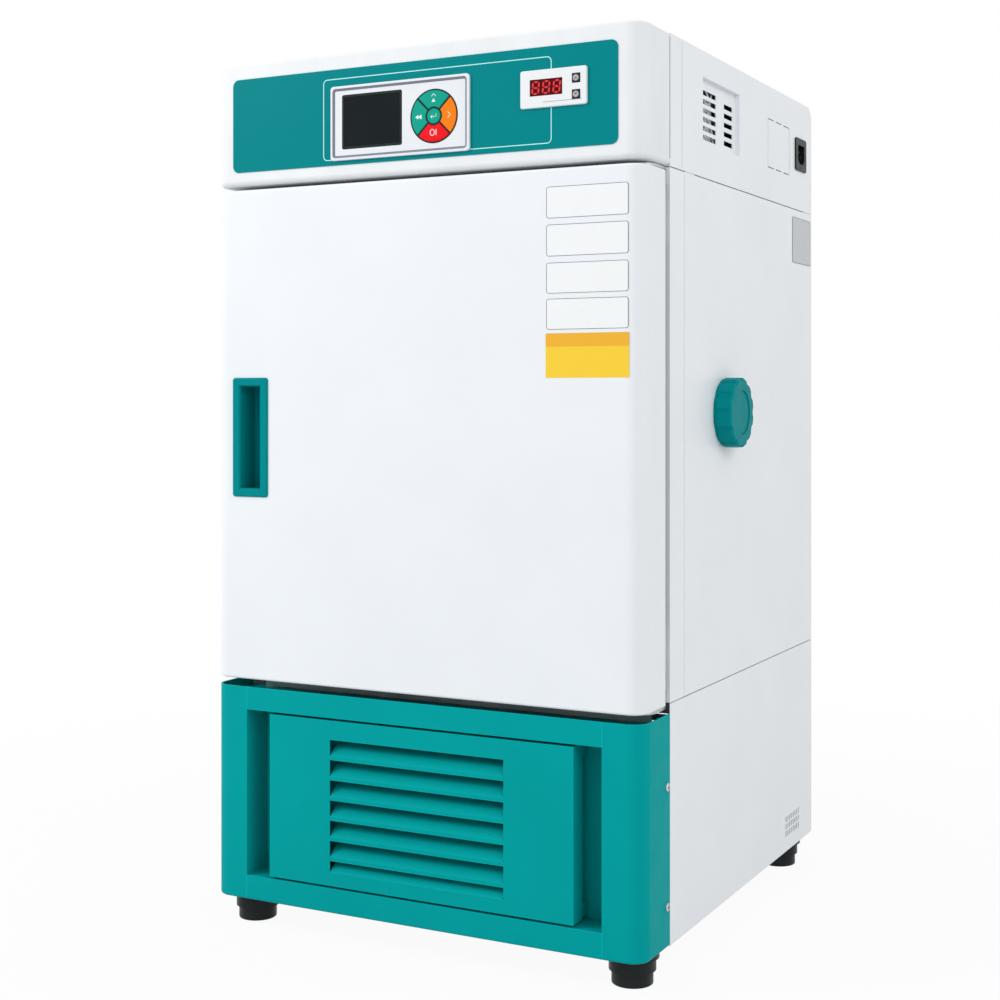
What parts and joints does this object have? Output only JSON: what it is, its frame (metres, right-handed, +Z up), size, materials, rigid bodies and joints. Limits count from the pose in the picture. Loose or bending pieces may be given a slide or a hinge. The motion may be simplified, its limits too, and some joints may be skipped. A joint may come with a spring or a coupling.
{
  "type": "refrigerated incubator",
  "caption": "Floor-standing refrigerated laboratory incubator with a hinged door, inner glass door, wire shelves, keypad console, side access port and louvred base.",
  "frame": {"origin": "centre of the whole object's box in plan, on the floor under the feet", "axes": "+Z up, -Y towards the door, +X to the right seen from the front"},
  "size_m": [0.5744, 0.6044, 1.0175],
  "materials": {
    "white_paint": "smooth white powder coat",
    "teal_paint": "satin teal powder coat",
    "white_moulding": "gloss white",
    "teal_plastic": "satin teal",
    "teal_panel": "printed teal panel",
    "silver_plastic": "silver-white",
    "black_plastic": "satin black",
    "display_black": "dark display window",
    "key_green": "satin green",
    "key_orange": "satin orange",
    "key_red": "satin red",
    "stainless": "brushed stainless steel",
    "zinc_steel": "zinc-plated steel",
    "fin_aluminium": "bare fins",
    "copper_pipe": "bare copper",
    "compressor_black": "black enamel",
    "gasket_rubber": "grey soft rubber",
    "foam_core": null,
    "inner_glass": "clear toughened glass",
    "board_green": "circuit board"
  },
  "bodies": {
    "cabinet": {"base_post_left": "teal_paint", "base_post_right": "teal_paint", "base_top_rail": "teal_paint", "base_bottom_rail": "teal_paint", "recess_plate": "teal_paint", "frame_screws": "zinc_steel", "base_pan": "zinc_steel", "lower_side_left": "white_paint", "lower_side_right": "white_paint", "rear_panel": "white_paint", "condenser_coil": "fin_aluminium", "condenser_fan_shroud": "zinc_steel", "compressor": "compressor_black", "refrigerant_pipes": "copper_pipe", "cabinet_floor_plate": "zinc_steel", "body_wrap": "white_paint", "front_frame": "white_paint", "insulation_foam": "foam_core", "chamber_liner": "stainless", "shelf_rails": "stainless", "wire_shelf_lower": "stainless", "wire_shelf_upper": "stainless", "air_duct_panel": "stainless", "circulation_fan_motor": "zinc_steel", "evaporator_coil": "fin_aluminium", "heater_element": "stainless", "temperature_probe": "stainless", "port_sleeve": "teal_plastic", "hinge_brackets": "zinc_steel", "console_fascia": "white_moulding", "console_panel": "teal_panel", "control_bezel": "silver_plastic", "display_window": "display_black", "keypad_frame": "black_plastic", "thermostat_housing": "white_moulding", "console_cover": "white_paint", "power_inlet": "black_plastic", "control_board": "board_green"},
    "door": {"door_shell": "white_paint", "door_foam": "foam_core", "door_liner": "white_paint", "door_gasket": "gasket_rubber", "door_handle": "teal_plastic"},
    "inner_door": {"inner_door_glass": "inner_glass", "inner_door_fittings": "zinc_steel"},
    "port_cap": {"port_cap": "teal_plastic"},
    "grille_panel": {"grille_panel": "teal_paint"},
    "condenser_fan": {"condenser_fan_blade": "black_plastic"},
    "circulation_fan": {"circulation_fan_blade": "black_plastic"},
    "key_up": {"key_up": "key_green"},
    "key_left": {"key_left": "key_green"},
    "key_right": {"key_right": "key_orange"},
    "key_power": {"key_power": "key_red"},
    "key_enter": {"key_enter": "key_green"},
    "thermostat_key_upper": {"thermostat_key_upper": "black_plastic"},
    "thermostat_key_lower": {"thermostat_key_lower": "black_plastic"},
    "foot_front_left": {"foot_front_left": "black_plastic"},
    "foot_front_right": {"foot_front_right": "black_plastic"},
    "foot_rear_left": {"foot_rear_left": "black_plastic"},
    "foot_rear_right": {"foot_rear_right": "black_plastic"}
  },
  "joints": [
    {"name": "door_hinge", "type": "hinge", "parent": "cabinet", "child": "door", "pos_m": [0.244, -0.25275, 0.581], "axis": [0, 0, 1], "range_deg": [0, 105]},
    {"name": "inner_door_hinge", "type": "hinge", "parent": "cabinet", "child": "inner_door", "pos_m": [0.2225, -0.22005, 0.581], "axis": [0, 0, 1], "range_deg": [0, 80]},
    {"name": "port_cap_pull", "type": "slide", "parent": "cabinet", "child": "port_cap", "axis": [1, 0, 0], "range_m": [0, 0.04]},
    {"name": "grille_pull", "type": "slide", "parent": "cabinet", "child": "grille_panel", "axis": [0, -1, 0], "range_m": [0, 0.06]},
    {"name": "condenser_fan_spin", "type": "hinge", "parent": "cabinet", "child": "condenser_fan", "pos_m": [-0.011, -0.16265, 0.131], "axis": [0, 1, 0], "continuous": true},
    {"name": "circulation_fan_spin", "type": "hinge", "parent": "cabinet", "child": "circulation_fan", "pos_m": [-0.011, 0.20445, 0.691], "axis": [0, 1, 0], "continuous": true},
    {"name": "key_up_press", "type": "slide", "parent": "cabinet", "child": "key_up", "axis": [0, 1, 0], "range_m": [0, 0.0008], "stiffness_N_per_m": 500, "springref_m": -0.001},
    {"name": "key_left_press", "type": "slide", "parent": "cabinet", "child": "key_left", "axis": [0, 1, 0], "range_m": [0, 0.0008], "stiffness_N_per_m": 500, "springref_m": -0.001},
    {"name": "key_right_press", "type": "slide", "parent": "cabinet", "child": "key_right", "axis": [0, 1, 0], "range_m": [0, 0.0008], "stiffness_N_per_m": 500, "springref_m": -0.001},
    {"name": "key_power_press", "type": "slide", "parent": "cabinet", "child": "key_power", "axis": [0, 1, 0], "range_m": [0, 0.0008], "stiffness_N_per_m": 500, "springref_m": -0.001},
    {"name": "key_enter_press", "type": "slide", "parent": "cabinet", "child": "key_enter", "axis": [0, 1, 0], "range_m": [0, 0.0008], "stiffness_N_per_m": 500, "springref_m": -0.001},
    {"name": "thermostat_key_upper_press", "type": "slide", "parent": "cabinet", "child": "thermostat_key_upper", "axis": [0, 1, 0], "range_m": [0, 0.0008], "stiffness_N_per_m": 500, "springref_m": -0.001},
    {"name": "thermostat_key_lower_press", "type": "slide", "parent": "cabinet", "child": "thermostat_key_lower", "axis": [0, 1, 0], "range_m": [0, 0.0008], "stiffness_N_per_m": 500, "springref_m": -0.001},
    {"name": "foot_front_left_turn", "type": "hinge", "parent": "cabinet", "child": "foot_front_left", "pos_m": [-0.255, -0.25275, 0.015], "axis": [0, 0, 1], "continuous": true},
    {"name": "foot_front_right_turn", "type": "hinge", "parent": "cabinet", "child": "foot_front_right", "pos_m": [0.233, -0.25275, 0.015], "axis": [0, 0, 1], "continuous": true},
    {"name": "foot_rear_left_turn", "type": "hinge", "parent": "cabinet", "child": "foot_rear_left", "pos_m": [-0.255, 0.25225, 0.015], "axis": [0, 0, 1], "continuous": true},
    {"name": "foot_rear_right_turn", "type": "hinge", "parent": "cabinet", "child": "foot_rear_right", "pos_m": [0.233, 0.25225, 0.015], "axis": [0, 0, 1], "continuous": true}
  ],
  "couplings": [
    {"joint": "inner_door_hinge", "follows": "door_hinge", "ratio": 0.72}
  ]
}
